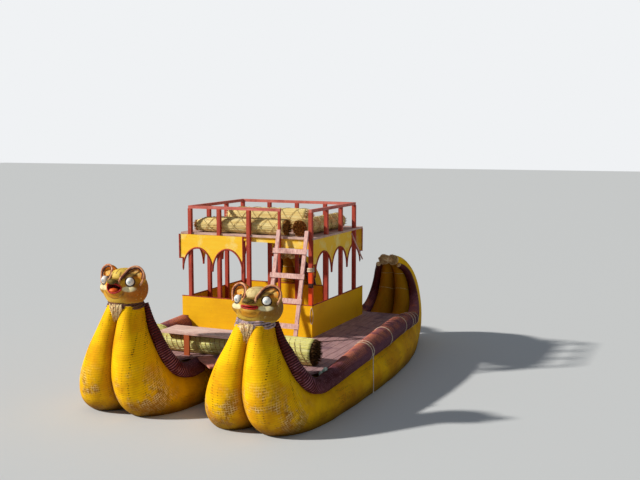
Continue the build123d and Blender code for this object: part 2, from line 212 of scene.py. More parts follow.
def maskOf(tree, value, low, high, share=1.0):
    # none where the value is at low, and the share where it is at high
    return addNode(tree, "ShaderNodeMapRange", {0: value, 1: low, 2: high, 4: share}).outputs[0]


def noiseMask(tree, where, scale, low, high, share=1.0):
    noise = addNode(tree, "ShaderNodeTexNoise",
                    {"Vector": where, "Scale": scale, "Detail": 5.0, "Roughness": 0.65})
    return maskOf(tree, noise.outputs["Fac"], low, high, share)


def axesOf(tree, vector):
    return addNode(tree, "ShaderNodeSeparateXYZ", {0: vector}).outputs


def beginLook(name, roughness, shine=0.3):
    # a new material, where its patterns lie, and soft blots over it
    made = newMaterial(name, roughness, shine)
    tree = made[1]
    place = addNode(tree, "ShaderNodeTexCoord").outputs

    def blots(scale, low, high, share=1.0):
        return noiseMask(tree, place["Object"], scale, low, high, share)

    return made, tree, place, blots


def giveLook(made, colour, height, strength, depth):
    material, tree, shader = made
    bump = addNode(tree, "ShaderNodeBump", {"Height": height, "Strength": strength, "Distance": depth})
    tree.links.new(colour, shader.inputs["Base Color"])
    tree.links.new(bump.outputs[0], shader.inputs["Normal"])
    return material


def bandsOf(tree, where, pitch, direction, distortion):
    # smooth bands, one each pitch
    wave = addNode(tree, "ShaderNodeTexWave", {"Vector": where, "Scale": waveLength / pitch,
                                               "Distortion": distortion, "Detail": 2.0},
                   bands_direction=direction)
    return wave.outputs["Fac"]


def mathOf(tree, operation, *values):
    return addNode(tree, "ShaderNodeMath", dict(enumerate(values)), operation=operation).outputs[0]


def timesOf(tree, product, *values):
    for value in values:
        product = mathOf(tree, "MULTIPLY", product, value)
    return product


def layOver(tree, colour, *layers):
    # colours are hex or a socket, and each layer is a colour and its share
    for other, share in layers:
        below, above = [linear(c) if isinstance(c, str) else c for c in (colour, other)]
        colour = addNode(tree, "ShaderNodeMix", {0: share, 6: below, 7: above}, data_type="RGBA").outputs[2]
    return colour


def drawnNoise(tree, where, scale, low, high):
    # noise drawn out by a scale of its own along each axis
    drawn = addNode(tree, "ShaderNodeMapping", {"Vector": where, "Scale": scale}).outputs[0]
    return noiseMask(tree, drawn, 1.0, low, high)


def grainOf(tree, where, along, slow, fast, low, high):
    return drawnNoise(tree, where, [slow if axis == along else fast for axis in "XYZ"], low, high)


def attributeOf(tree, name, output="Fac"):
    return addNode(tree, "ShaderNodeAttribute", attribute_name=name).outputs[output]


# Materials

def paintedReed(name, look):
    # house paint brushed over tied reed: matt, dirty in the wraps, with bare straw where the bows rub
    made, tree, place, blots = beginLook(name, 0.75, 0.1)
    solid = axesOf(tree, place["Object"])
    wraps = bandsOf(tree, place["UV"], look["wrapPitch"], "X", 0.8)
    grooves = timesOf(tree, maskOf(tree, wraps, 0.35, 0.0), look["grooveShare"])
    # columns of short dashes where the wraps have lost their paint
    columns = drawnNoise(tree, place["UV"], (0.9, 9.0, 1.0), 0.53, 0.60)
    specks = blots(34.0, 0.46, 0.54)
    dashes = timesOf(tree, columns, specks, maskOf(tree, wraps, 0.8, 0.35, 0.9))
    # bare straw low on the bows, cross hatched by reeds and wraps
    bare = timesOf(tree, maskOf(tree, solid["Z"], 1.25, 0.75), maskOf(tree, solid["Y"], -3.2, -3.8),
                   blots(2.3, 0.47, 0.57, 0.9))
    reeds = bandsOf(tree, place["UV"], 0.05, "Y", 2.0)
    hatch = mathOf(tree, "MAXIMUM", maskOf(tree, wraps, 0.55, 0.85), maskOf(tree, reeds, 0.7, 0.95))
    straw = layOver(tree, look["strawDark"], (look["straw"], timesOf(tree, hatch, blots(14.0, 0.60, 0.42))))
    colour = layOver(tree, look["paint"], (look["second"], blots(1.9, 0.44, 0.68, 0.9)),
                     (look["groove"], grooves), (look["dash"], dashes),
                     (look["dash"], blots(30.0, 0.66, 0.72, 0.5)), (straw, bare))
    # painted shade, orange-brown, in the seam between two bundles and on the faces that look inboard;
    # brown low on the hulls, partly old paint and partly painted shade, and dark olive just over the waterline,
    # partly damp dirt and partly painted shade
    oldPaintAndShade = timesOf(tree, maskOf(tree, solid["Z"], 1.2, 0.45), blots(1.6, 0.36, 0.60, 0.75))
    colour = layOver(tree, colour, (look["seamShade"], timesOf(tree, attributeOf(tree, "seamShade"), 0.8)),
                     (look["inboardShade"], timesOf(tree, attributeOf(tree, "inboardShade"), 0.85)), (look["oldPaintAndShade"], oldPaintAndShade),
                     (look["dampDirtAndShade"], maskOf(tree, solid["Z"], 0.60, 0.28, 0.85)))
    return giveLook(made, colour, mathOf(tree, "ADD", wraps, specks), 0.22, 0.004)


def woundRoll(name, look):
    # oxblood paint over a wound reed roll: salmon on its upper side, painted highlight over sun-bleached paint,
    # and darker on the raised ends, partly fresher paint and partly painted shade
    made, tree, place, blots = beginLook(name, 0.62, 0.25)
    solid = axesOf(tree, place["Object"])
    ends = mathOf(tree, "MAXIMUM", maskOf(tree, solid["Z"], 1.30, 1.55), maskOf(tree, solid["Y"], -1.7, -2.5))
    upward = axesOf(tree, place["Normal"])["Z"]
    bleachedLitTop = timesOf(tree, maskOf(tree, upward, 0.25, 0.80), blots(4.0, 0.66, 0.44))
    turns = bandsOf(tree, place["UV"], look["turnPitch"], "X", 0.5)
    # the crests of the turns are given painted highlights in a dusty purple low on the boat
    crestHighlights = timesOf(tree, maskOf(tree, turns, 0.55, 0.9), maskOf(tree, solid["Z"], 1.60, 1.35),
                     blots(6.0, 0.38, 0.54, 0.9))
    # painted shade darkens the grooves between the turns
    colour = layOver(tree, look["faded"], (look["bleachedAndLit"], bleachedLitTop), (look["freshPaintAndShade"], ends),
                     (look["crestHighlight"], crestHighlights), (look["groove"], maskOf(tree, turns, 0.42, 0.05, 0.85)),
                     (look["rubbed"], blots(26.0, 0.62, 0.70, 0.5)))
    return giveLook(made, colour, turns, 0.8, 0.008)


def laidStems(name, look):
    # dried reed stems laid along the roll: straw in many tones, dark between the stems
    made, tree, place, blots = beginLook(name, 0.6)
    stems = bandsOf(tree, place["UV"], look["stem"], "Y", 1.6)
    tones = drawnNoise(tree, place["UV"], (1.6, 45.0, 1.0), 0.36, 0.66)
    colour = layOver(tree, look["pale"], (look["deep"], tones),
                     (look["gap"], maskOf(tree, stems, 0.32, 0.0, 0.7)),
                     (look["gap"], blots(5.0, 0.58, 0.72, 0.4)))
    return giveLook(made, colour, stems, 0.6, 0.006)


def sawnBoards(name, look):
    # sawn softwood: grain along the board, each board its own tone, paint gone or worn thin
    made, tree, place, blots = beginLook(name, 0.78, 0.25)
    solid = axesOf(tree, place["Object"])
    look = {"along": "X", "across": "Y", "boardWidth": 0.27, **look}
    grain = grainOf(tree, place["Object"], look["along"], 3.0, 40.0, 0.34, 0.68)
    number = mathOf(tree, "FLOOR", mathOf(tree, "DIVIDE", solid[look["across"]], look["boardWidth"]))
    tone = addNode(tree, "ShaderNodeTexWhiteNoise", {"W": number}, noise_dimensions="1D").outputs["Value"]
    colour = layOver(tree, look["pale"], (look["deep"], grain),
                     (look["other"], timesOf(tree, tone, look["toneShare"])),
                     (look["stain"], blots(2.6, 0.52, 0.68, 0.6)))
    if "legs" in look:
        below = maskOf(tree, solid["Z"], look["legTop"] + 0.002, look["legTop"])
        colour = layOver(tree, colour, (look["legs"], below))
    return giveLook(made, colour, grain, 0.35, 0.003)


def brushedWood(name, look):
    # brushed house paint on a batten or board: chalky, thin on the grain, chipped to bare wood
    made, tree, place, blots = beginLook(name, 0.66, 0.25)
    solid = axesOf(tree, place["Object"])
    brush = grainOf(tree, place["Object"], look["along"], 2.0, 26.0, 0.36, 0.66)
    colour = layOver(tree, look["paint"], (look["thin"], brush),
                     (look["blot"], blots(look["blotScale"], 0.50, 0.68, look["blotShare"])),
                     (look["chip"], blots(28.0, 0.64, 0.69, look["chipShare"])))
    for low, high, other in look.get("zones", ()):
        above, below = maskOf(tree, solid["Z"], low - 0.01, low), maskOf(tree, solid["Z"], high, high - 0.01)
        colour = layOver(tree, colour, (other, timesOf(tree, above, below)))
    return giveLook(made, colour, brush, 0.25, 0.002)


def blotchedPaint(name, paint, second, scale, roughness=0.85):
    # a small piece: one colour with soft blotches
    made, tree, _, blots = beginLook(name, roughness)
    blotches = blots(scale, 0.38, 0.62)
    return giveLook(made, layOver(tree, paint, (second, blotches)), blotches, 0.3, 0.003)


def paintedFace(name, look):
    # thick paint over wrapped reed, each colour brushed on where the carving asks for it
    made, tree, place, blots = beginLook(name, 0.6)
    wraps = bandsOf(tree, place["Object"], look["wrapPitch"], "Z", 1.5)
    colour = layOver(tree, attributeOf(tree, "paint", "Color"),
                     (look["dirt"], maskOf(tree, wraps, 0.35, 0.0, 0.35)),
                     (look["dirt"], blots(7.0, 0.55, 0.72, 0.45)),
                     (look["worn"], blots(16.0, 0.60, 0.68, 0.5)))
    return giveLook(made, colour, wraps, 0.4, 0.004)


# yellow paint on the hulls; its orange-brown seam and inboard colours are painted shade, and its brown and dark
# olive low down are partly painted shade
yellowReed = paintedReed("brushedYellowReed", {
    "paint": "#FFC800", "second": "#E39A04", "groove": "#C08A0A", "grooveShare": 0.35, "wrapPitch": 0.03,
    "dash": "#4E3006", "straw": "#F2DCA0", "strawDark": "#84561A", "seamShade": "#9C5A04", "inboardShade": "#9A620C",
    "oldPaintAndShade": "#B87408", "dampDirtAndShade": "#4A3408"})
# oxblood roll paint: its salmon top is painted highlight over sun-bleached paint, its crest colour is painted
# highlight, its groove colour is painted shade, and its dark ends are partly painted shade
maroonRoll = woundRoll("brushedOxbloodReed", {
    "bleachedAndLit": "#F08E66", "faded": "#743A50", "freshPaintAndShade": "#5A1416", "groove": "#260810", "crestHighlight": "#A2687A",
    "rubbed": "#D89C84", "turnPitch": 0.045})
dryStraw = laidStems("driedReedStems", {
    "pale": "#FFF0AE", "deep": "#E6C266", "gap": "#8E682A", "stem": 0.014})
greenStraw = laidStems("freshReedStems", {
    "pale": "#FFFBB8", "deep": "#E2D864", "gap": "#88822A", "stem": 0.014})
cutReed = blotchedPaint("cutReedEnds", "#C08238", "#6E3C14", 40, 0.8)
brownReed = blotchedPaint("dampReedEnds", "#6A4618", "#2E1C08", 30)
paleCutReed = blotchedPaint("paleReedEnds", "#F6E2B0", "#C89C68", 24, 0.8)
paleRope = blotchedPaint("sisalRope", "#E8DCC6", "#B49C7C", 60)
netRope = blotchedPaint("strawCord", "#E6CE90", "#9A7A3C", 60)
brownRope = blotchedPaint("brownCollarRope", "#7A5040", "#4A2E2A", 30)
whiteRope = blotchedPaint("whiteRope", "#F4F0EA", "#C8BEB4", 60, 0.8)
greyRope = blotchedPaint("greyCollarRope", "#D6B4B0", "#6C6474", 9)
tealRope = blotchedPaint("tealRope", "#6FA79A", "#D8DAD0", 30, 0.8)
greyDeck = sawnBoards("weatheredDeckBoards", {
    "pale": "#C6A09E", "deep": "#88686E", "other": "#A68080", "stain": "#62485A", "toneShare": 0.6,
    "along": "Y", "across": "X", "boardWidth": 0.185})
paleFloor = sawnBoards("bleachedFloorBoards", {
    "pale": "#E6C8B8", "deep": "#B28C84", "other": "#C89C90", "stain": "#84605E", "toneShare": 0.5,
    "boardWidth": 0.185})
paleBoards = sawnBoards("bleachedPinkBoards", {
    "pale": "#FFE4D6", "deep": "#D0A094", "other": "#F0C8B6", "stain": "#A87C78", "toneShare": 0.4,
    "legs": "#B4582C", "legTop": 1.47})
plankBoard = sawnBoards("salmonPlank", {
    "pale": "#DE9484", "deep": "#A8665A", "other": "#C47C6C", "stain": "#7C4A44", "toneShare": 0.3})
ladderWood = sawnBoards("bleachedLadderWood", {
    "pale": "#F6CEC2", "deep": "#C08E88", "other": "#DCA89E", "stain": "#8E605E", "toneShare": 0.3,
    "along": "Z", "across": "X", "boardWidth": 0.3})
redPost = {"paint": "#C4503A", "thin": "#A23A2C", "blot": "#8A3028", "blotShare": 0.5, "blotScale": 3.0,
           "chip": "#E0A488", "chipShare": 0.7, "along": "Z"}
redWood = brushedWood("brickPaintedPosts", redPost)
# the front right post is painted orange below the valance, and its dark band at 2.08 to 2.17 m is a painted
# shadow
orangeWood = brushedWood("orangePaintedPost", {
    **redPost, "zones": [(1.0, 2.42, "#F2521C"), (2.08, 2.17, "#42201C")]})
redRail = brushedWood("brickPaintedRail", {**redPost, "paint": "#DC8276", "thin": "#BE5A4C", "along": "X"})
yellowBoard = brushedWood("yellowPaintedPanels", {
    "paint": "#FFC400", "thin": "#FABC00", "blot": "#E8A602", "blotShare": 0.5, "blotScale": 1.6,
    "chip": "#B8842C", "chipShare": 0.4, "along": "X"})
paleYellow = brushedWood("fadedYellowValances", {
    "paint": "#FFD034", "thin": "#FFC624", "blot": "#FFE890", "blotShare": 0.8, "blotScale": 4.0,
    "chip": "#B88A2C", "chipShare": 0.5, "along": "X"})
redTrim = blotchedPaint("brickPaintedTrim", "#B84A30", "#8E3020", 12, 0.7)
faceReed = paintedFace("paintedHeadReed", {"wrapPitch": 0.02, "dirt": "#6A4412", "worn": "#EFD893"})
earRimPaint = blotchedPaint("paleEarRims", "#E6AE86", "#B4643C", 14, 0.65)
darkLine = blotchedPaint("darkMaroonLines", "#4E1C12", "#2A0C0A", 14, 0.65)
lipPaint = blotchedPaint("redLips", "#C41C12", "#7A0E10", 14, 0.55)
tonguePaint = blotchedPaint("orangeTongue", "#F4742A", "#E05018", 14, 0.55)
eyePaint = blotchedPaint("whiteEyes", "#FAF8F2", "#EEEAE2", 6, 0.4)
irisPaint = blotchedPaint("greyIris", "#C9D3D6", "#A9B6BC", 20, 0.4)
nosePaint = blotchedPaint("oliveNose", "#7A6416", "#3E2C0E", 14, 0.6)
floorPaint, _, floorShader = newMaterial("plainFloor", 0.9)
floorShader.inputs["Base Color"].default_value = linear(view["floorColour"])
print("materials made")

reach, level = view["floorReach"], view["waterline"]
floor = newPiece("floor", [(-reach, -reach, level), (reach, -reach, level), (reach, reach, level),
                           (-reach, reach, level)], [], [(0, 1, 2, 3)], floorPaint)


# Geometry node trees: cords along lines, and stems growing from points

def newTree(name, sockets):
    tree = bpy.data.node_groups.new(name, "GeometryNodeTree")
    for label, kind in {"Geometry": "Geometry", **sockets}.items():
        tree.interface.new_socket(label, in_out="INPUT", socket_type="NodeSocket" + kind)
    tree.interface.new_socket("Geometry", in_out="OUTPUT", socket_type="NodeSocketGeometry")
    return tree, addNode(tree, "NodeGroupInput").outputs


def endTree(tree, geometry, finish):
    smooth = addNode(tree, "GeometryNodeSetShadeSmooth", {"Geometry": geometry})
    real = addNode(tree, "GeometryNodeRealizeInstances", {"Geometry": smooth.outputs[0]})
    painted = addNode(tree, "GeometryNodeSetMaterial", {"Geometry": real.outputs[0], "Material": finish})
    addNode(tree, "NodeGroupOutput", {0: painted.outputs[0]})
    return tree


def makeCordTree():
    tree, given = newTree("cordAlongLines", {"Radius": "Float", "Sides": "Int", "Finish": "Material"})
    path = addNode(tree, "GeometryNodeMeshToCurve", {"Mesh": given["Geometry"]})
    section = addNode(tree, "GeometryNodeCurvePrimitiveCircle",
                      {"Resolution": given["Sides"], "Radius": given["Radius"]})
    tube = addNode(tree, "GeometryNodeCurveToMesh",
                   {"Curve": path.outputs[0], "Profile Curve": section.outputs[0], "Fill Caps": True})
    return endTree(tree, tube.outputs[0], given["Finish"])


def makeStemTree():
    tree, given = newTree("stemsFromPoints", {"Length": "Float", "Radius": "Float", "Spread": "Float",
                                              "Seed": "Int", "Finish": "Material"})
    aim = addNode(tree, "GeometryNodeInputNamedAttribute", {"Name": "aim"}, data_type="FLOAT_VECTOR")
    stray = addNode(tree, "FunctionNodeRandomValue",
                    {0: (-1.0, -1.0, -1.0), 1: (1.0, 1.0, 1.0), 8: given["Seed"]}, data_type="FLOAT_VECTOR")
    bent = addNode(tree, "ShaderNodeVectorMath", {0: stray.outputs[0], "Scale": given["Spread"]},
                   operation="SCALE")
    way = addNode(tree, "ShaderNodeVectorMath", {0: aim.outputs[0], 1: bent.outputs[0]}, operation="ADD")
    turn = addNode(tree, "FunctionNodeAlignRotationToVector", {"Vector": way.outputs[0]}, axis="Z")
    share = addNode(tree, "FunctionNodeRandomValue", {2: 0.35, 3: 1.0, 8: given["Seed"]}, data_type="FLOAT")
    size = addNode(tree, "ShaderNodeCombineXYZ",
                   {0: 1.0, 1: 1.0, 2: mathOf(tree, "MULTIPLY", share.outputs[1], given["Length"])})
    stem = addNode(tree, "GeometryNodeMeshCone",
                   {"Vertices": 5, "Radius Top": 0.002, "Radius Bottom": given["Radius"], "Depth": 1.0})
    grown = addNode(tree, "GeometryNodeInstanceOnPoints",
                    {"Points": given["Geometry"], "Instance": stem.outputs[0], "Rotation": turn.outputs[0],
                     "Scale": size.outputs[0]})
    return endTree(tree, grown.outputs[0], given["Finish"])


def growTree(piece, tree, values):
    modifier = piece.modifiers.new(tree.name, "NODES")
    modifier.node_group = tree
    for item in tree.interface.items_tree:
        if item.item_type == "SOCKET" and item.in_out == "INPUT" and item.name in values:
            modifier[item.identifier] = values[item.name]
    return outwards(bakeModifiers(piece))


cordTree = makeCordTree()
stemTree = makeStemTree()


def cordPiece(name, slotName, lines, radius, material, closed=False, sides=6, replaced=()):
    # cords of one thickness along several lines of points
    points, edges = [], []
    for line in lines:
        first = len(points)
        points += [tuple(p) for p in line]
        edges += [(first + i, first + i + 1) for i in range(len(line) - 1)]
        if closed:
            edges.append((len(points) - 1, first))
    piece = newPiece(name, points, edges, [], material)
    growTree(piece, cordTree, {"Radius": radius, "Sides": sides, "Finish": material})
    return keepPiece(piece, slotName, *replaced)


def stemPiece(name, slotName, points, aims, material, length, radius, spread, seed):
    piece = newPiece(name, points, [], [], material)
    aim = piece.data.attributes.new("aim", "FLOAT_VECTOR", "POINT")
    aim.data.foreach_set("vector", np.array(aims, dtype=np.float32).ravel())
    growTree(piece, stemTree,
             {"Length": length, "Radius": radius, "Spread": spread, "Seed": seed, "Finish": material})
    return keepPiece(piece, slotName)


def endStems(name, slotName, ring, aim, count, material, length, radius, spread, seed):
    # stems over the whole of a cut end, which the ring of points goes round
    pick = random.Random(seed)
    middle = ring.mean(axis=0)
    points = [middle + (ring[pick.randrange(len(ring))] - middle) * math.sqrt(pick.random()) * 0.97
              for _ in range(count)]
    return stemPiece(name, slotName, points, [aim] * count, material, length, radius, spread, seed)


# Lines, tubes and blobs

def marksAlong(points):
    # how far along the line each point lies
    return np.concatenate([[0], np.cumsum(np.linalg.norm(np.diff(points, axis=0), axis=1))])


def smoothRows(marks, table, places):
    # a smooth curve through every column, with slopes from the neighbours
    slopes = np.gradient(table, marks, axis=0)
    found = np.clip(np.searchsorted(marks, places, side="right") - 1, 0, len(marks) - 2)
    span = (marks[found + 1] - marks[found])[:, None]
    t = ((places - marks[found])[:, None]) / span
    low, high = table[found], table[found + 1]
    return ((2 * t ** 3 - 3 * t ** 2 + 1) * low + (t ** 3 - 2 * t ** 2 + t) * span * slopes[found]
            + (3 * t ** 2 - 2 * t ** 3) * high + (t ** 3 - t ** 2) * span * slopes[found + 1])


def smoothLine(points, spacing):
    points = np.array(points, dtype=float)
    marks = marksAlong(points)
    count = max(2, int(round(marks[-1] / spacing)))
    return smoothRows(marks, points, np.linspace(0, marks[-1], count + 1))


def framesAlong(points):
    # two directions square to the line at each point, carried along it without twist
    tangents = np.gradient(points, axis=0)
    tangents /= np.linalg.norm(tangents, axis=1)[:, None]
    start = np.cross(tangents[0], [0.0, 0.0, 1.0])
    if np.linalg.norm(start) < 0.2:
        start = np.cross(tangents[0], [1.0, 0.0, 0.0])
    sideways = [start / np.linalg.norm(start)]
    for tangent in tangents[1:]:
        carried = sideways[-1] - tangent * np.dot(sideways[-1], tangent)
        sideways.append(carried / np.linalg.norm(carried))
    sideways = np.array(sideways)
    return tangents, sideways, np.cross(sideways, tangents)


def gridFaces(rows, columns):
    # quads of a tube whose columns close on themselves, with a cap at each end
    faces = []
    for row in range(0, (rows - 1) * columns, columns):
        for j in range(columns):
            k = (j + 1) % columns
            faces.append((row + j, row + k, row + columns + k, row + columns + j))
    last = (rows - 1) * columns
    return faces + [tuple(range(columns - 1, -1, -1)), tuple(range(last, last + columns))]


def gridUvs(rows, columns, along, around):
    # u runs along the tube and v round it, both in metres
    uvs = []
    for i in range(rows - 1):
        for j in range(columns):
            a, b = around[i] * j / columns, around[i] * (j + 1) / columns
            uvs += [(along[i], a), (along[i], b), (along[i + 1], b), (along[i + 1], a)]
    return uvs + [(along[0], 0.0)] * columns + [(along[-1], 0.0)] * columns


def gridPiece(name, grid, along, around, material, capMaterial):
    rows, columns = grid.shape[:2]
    piece = newPiece(name, grid.reshape(-1, 3), [], gridFaces(rows, columns), material,
                     gridUvs(rows, columns, along, around))
    piece.data.materials.append(capMaterial)
    caps = len(piece.data.polygons) - 1
    piece.data.polygons[caps].material_index = 1
    piece.data.polygons[caps - 1].material_index = 1
    return outwards(piece)


def tubeGrid(points, sizes, columns):
    # sizes gives the radius of each row, or of each row and column
    sideways, upward = framesAlong(points)[1:]
    turns = fullTurn(columns)
    normals = (np.cos(turns)[None, :, None] * sideways[:, None, :]
               + np.sin(turns)[None, :, None] * upward[:, None, :])
    return points[:, None, :] + normals * sizes.reshape(len(points), -1)[:, :, None]


def ellipsoidPiece(name, blobs, material, placed=lambda local: local):
    # each blob has a middle and half sizes
    work = bmesh.new()
    for middle, half in blobs:
        ball = bmesh.ops.create_uvsphere(work, u_segments=40, v_segments=28, radius=1.0)
        for vertex in ball["verts"]:
            vertex.co = Vector([m + h * c for m, h, c in zip(middle, half, vertex.co)])
    mesh = bpy.data.meshes.new(name)
    work.to_mesh(mesh)
    work.free()
    for vertex in mesh.vertices:
        vertex.co = placed(np.array(vertex.co))
    return addSmooth(name, mesh, material)


# Hull form: the same stations as the hulls' solids, in millimetres in the boat's drawing

hull = {
    "pitch": 2.5,             # metres between the two hulls' middle planes
    "meet": 0.44,
    "bowShift": 0.188,        # metres from the drawing's middle to the frame's
    "leftRise": 120,
    "neckFoot": 1100,
    "neckBlend": 900,
    "rollSeat": 0.15,
    "wrapPitch": 0.06,
    "wrapDepth": 0.0014,
    "swell": 0.007,           # how far hand-tied reed swells in and out, in metres
    "inset": 0.004,
    "rowsPerWrap": 4,
    "around": 56,
    "sternStems": {"count": 260, "length": 0.05, "radius": 0.011, "spread": 0.02, "seed": 11},
    "stations": [
        (-3960, 2035, -3450, 2035, 295, 38, 75),
        (-4130, 1680, -3485, 1700, 430, 38, 92),
        (-4280, 1290, -3460, 1430, 600, 38, 108),
        (-4340, 890, -3420, 1270, 730, 39, 119),
        (-4190, 470, -3300, 1110, 865, 41, 130),
        (-3760, 180, -3120, 1035, 960, 44, 139),
        (-3100, 50, -2850, 1015, 1025, 48, 150),
        (-2250, 12, -2150, 1035, 1060, 52, 167),
        (-1200, 2, -1180, 1055, 1070, 56, 187),
        (0, 2, 0, 1060, 1060, 60, 200),
        (1250, 4, 1200, 1055, 950, 62, 190),
        (2350, 45, 2100, 1040, 780, 58, 162),
        (3200, 200, 2500, 1080, 630, 51, 135),
        (3760, 540, 2680, 1290, 530, 45, 116),
        (3960, 1000, 2750, 1510, 465, 42, 102),
        (3880, 1520, 2770, 1750, 400, 41, 88),
        (3500, 1990, 2740, 1960, 335, 40, 76),
        (3010, 2290, 2690, 2080, 275, 40, 66),
        (2590, 2400, 2570, 2160, 235, 40, 56),
    ],
}
hullSides = (("right", 1, 0), ("left", -1, hull["leftRise"]))


def stationTable(rise):
    # columns: outer y and z, inner y and z, width, roll angle, roll radius
    table = np.array(hull["stations"], dtype=float)
    share = ramp(table[:, 3], hull["neckFoot"], hull["neckFoot"] + hull["neckBlend"]) * (table[:, 0] <= 0)
    table[:, 1] += rise * share
    table[:, 3] += rise * share
    return table


def hullRows(rise, spacing, first=0, last=None):
    # evenly spaced rows of the station table and how far along the hull each lies, in metres
    table = stationTable(rise)[first:last]
    marks = marksAlong((table[:, 0:2] + table[:, 2:4]) / 2)
    count = max(2, int(round(marks[-1] / 1000 / spacing)))
    places = np.linspace(0, marks[-1], count + 1)
    return smoothRows(marks, table, places), places / 1000


def sectionOf(rows):
    # each section's plane and half sizes, in metres
    outer, inner, width = rows[:, 0:2] / 1000, rows[:, 2:4] / 1000, rows[:, 4] / 1000
    tall = np.linalg.norm(inner - outer, axis=1) / 2
    up = (inner - outer) / (2 * tall[:, None])
    centre = hull["meet"] * width
    return (outer + inner) / 2, up, tall, centre, width - centre


def rollPlaces(rows):
    # the gunwale roll's centre line and radius, in metres
    middle, up, tall, centre, reachOut = sectionOf(rows)
    turn, radius = np.radians(rows[:, 5]), rows[:, 6] / 1000
    slopeX, slopeY = np.cos(turn) / reachOut, np.sin(turn) / tall
    lift = radius * (1 - hull["rollSeat"]) / np.hypot(slopeX, slopeY)
    across = centre + reachOut * np.cos(turn) + lift * slopeX
    line = middle + up * (tall * np.sin(turn) + lift * slopeY)[:, None]
    return np.column_stack([across, line[:, 0] + hull["bowShift"], line[:, 1]]), radius


def atHull(points, side, isOuter):
    placed = np.array(points)
    placed[..., 0] = side * ((1 if isOuter else -1) * placed[..., 0] + hull["pitch"] / 2)
    return placed


def bundlePiece(name, side, isOuter, rise):
    rows, along = hullRows(rise, hull["wrapPitch"] / hull["rowsPerWrap"])
    middle, up, tall, centre, reachOut = sectionOf(rows)
    halfTurn = np.arccos(-centre / reachOut)
    turns = np.linspace(-1, 1, hull["around"])[None, :] * halfTurn[:, None]
    across = centre[:, None] + reachOut[:, None] * np.cos(turns)
    rising = tall[:, None] * np.sin(turns)
    normals = np.stack([np.cos(turns) / reachOut[:, None], up[:, 0, None] * np.sin(turns) / tall[:, None],
                        up[:, 1, None] * np.sin(turns) / tall[:, None]], axis=2)
    normals /= np.linalg.norm(normals, axis=2)[:, :, None]
    grid = np.stack([across, middle[:, 0, None] + up[:, 0, None] * rising + hull["bowShift"],
                     middle[:, 1, None] + up[:, 1, None] * rising], axis=2)
    # soft unevenness of hand-tied reed, and a groove at each wrap
    swell = (np.sin(along[:, None] * 4.1 + turns * 2.0 + (1 if isOuter else 4))
             * np.sin(along[:, None] * 1.9 - turns * 3.1 + side)) * hull["swell"]
    groove = np.where(np.arange(len(along)) % hull["rowsPerWrap"] == 0, hull["wrapDepth"], 0.0)
    grid = grid + normals * (swell - hull["inset"] - groove[:, None])[:, :, None]
    # the two bundles of a hull meet in its middle plane
    grid[:, :, 0] = np.maximum(grid[:, :, 0], 0.0)
    grid[:, [0, -1], 0] = 0.0
    grid = atHull(grid, side, isOuter)
    piece = gridPiece(name, grid, along, np.pi * (reachOut + tall) * 0.9, yellowReed, paleCutReed)
    # masks for painted shade: the seam between the two bundles, and the faces that look inboard
    seamShade = ramp(np.abs(turns) / halfTurn[:, None], 0.82, 1.0)
    inboardShade = ramp(np.degrees(turns) - rows[:, 5, None], 0, 14)
    for label, values in (("seamShade", seamShade), ("inboardShade", inboardShade)):
        layer = piece.data.attributes.new(label, "FLOAT", "POINT")
        layer.data.foreach_set("value", values.astype(np.float32).ravel())
    return piece, grid, turns


bundleGrids = {}
for sideName, side, rise in hullSides:
    for part, isOuter in (("outer", True), ("inner", False)):
        piece, grid, turns = bundlePiece(f"{sideName}{part.title()}Bundle", side, isOuter, rise)
        bundleGrids[sideName, part] = (grid, turns)
        keepPiece(piece, "reed_yellow", f"{sideName}_hull_{part}_bundle")
        endStems(f"{sideName}{part.title()}SternEnds", "reed_yellow", grid[-1], grid[-1, 0] - grid[-6, 0],
                 material=paleCutReed, **hull["sternStems"])
print("hull bundles made")


# Gunwale rolls: wound reed rolls along the hulls' shoulders

rolls = {
    "turnPitch": 0.045,
    "rowsPerTurn": 4,
    "turnDepth": 0.008,
    "around": 28,
    "bowStations": 7,
    "sternStations": 7,
    "neckTaper": 0.42,        # share of its radius that a roll loses where it ends under a head
    "taperLength": 0.5,
    "wallX": -2.0155,         # the cabin's left wall presses the left roll outboard
    "wallY": (-0.3675, 2.288),
    "wallFoot": 1.06,
}


def rollPiece(name, node, side, rise, isOuter, first, last):
    rows, along = hullRows(rise, rolls["turnPitch"] / rolls["rowsPerTurn"], first, last)
    if first == 0:
        rows[:, 6] *= 1 - rolls["neckTaper"] * ramp(along, rolls["taperLength"], 0.0)
    points, radii = rollPlaces(rows)
    points = atHull(points, side, isOuter)
    # the winding's groove climbs round the roll
    share = np.linspace(0, 1, rolls["around"], endpoint=False)
    perTurn = rolls["rowsPerTurn"]
    phase = (np.arange(len(points))[:, None] + share[None, :] * perTurn) % perTurn
    groove = np.clip(1 - np.minimum(phase, perTurn - phase), 0, 1)
    grid = tubeGrid(points, radii[:, None] - rolls["turnDepth"] * groove, rolls["around"])
    if side < 0 and isOuter:
        beside = (grid[:, :, 1] > rolls["wallY"][0]) & (grid[:, :, 1] < rolls["wallY"][1])
        pressed = beside & (grid[:, :, 2] > rolls["wallFoot"])
        grid[:, :, 0] = np.where(pressed, np.minimum(grid[:, :, 0], rolls["wallX"]), grid[:, :, 0])
    keepPiece(gridPiece(name, grid, along, 2 * np.pi * radii, maroonRoll, paleCutReed), "reed_maroon", node)
    return points, radii


# each roll's name, whether it lies on the outer bundle, and the stations that it runs along
rollSpans = (("gunwale", True, 0, None), ("inner_bow", False, 0, rolls["bowStations"]),
             ("inner_stern", False, -rolls["sternStations"], None))
rollLines = {}
for sideName, side, rise in hullSides:
    for label, isOuter, first, last in rollSpans:
        name = sideName + label.title().replace("_", "") + "Roll"
        made = rollPiece(name, f"{sideName}_{label}_roll", side, rise, isOuter, first, last)
        if isOuter:
            rollLines[sideName] = made
print("gunwale rolls made")


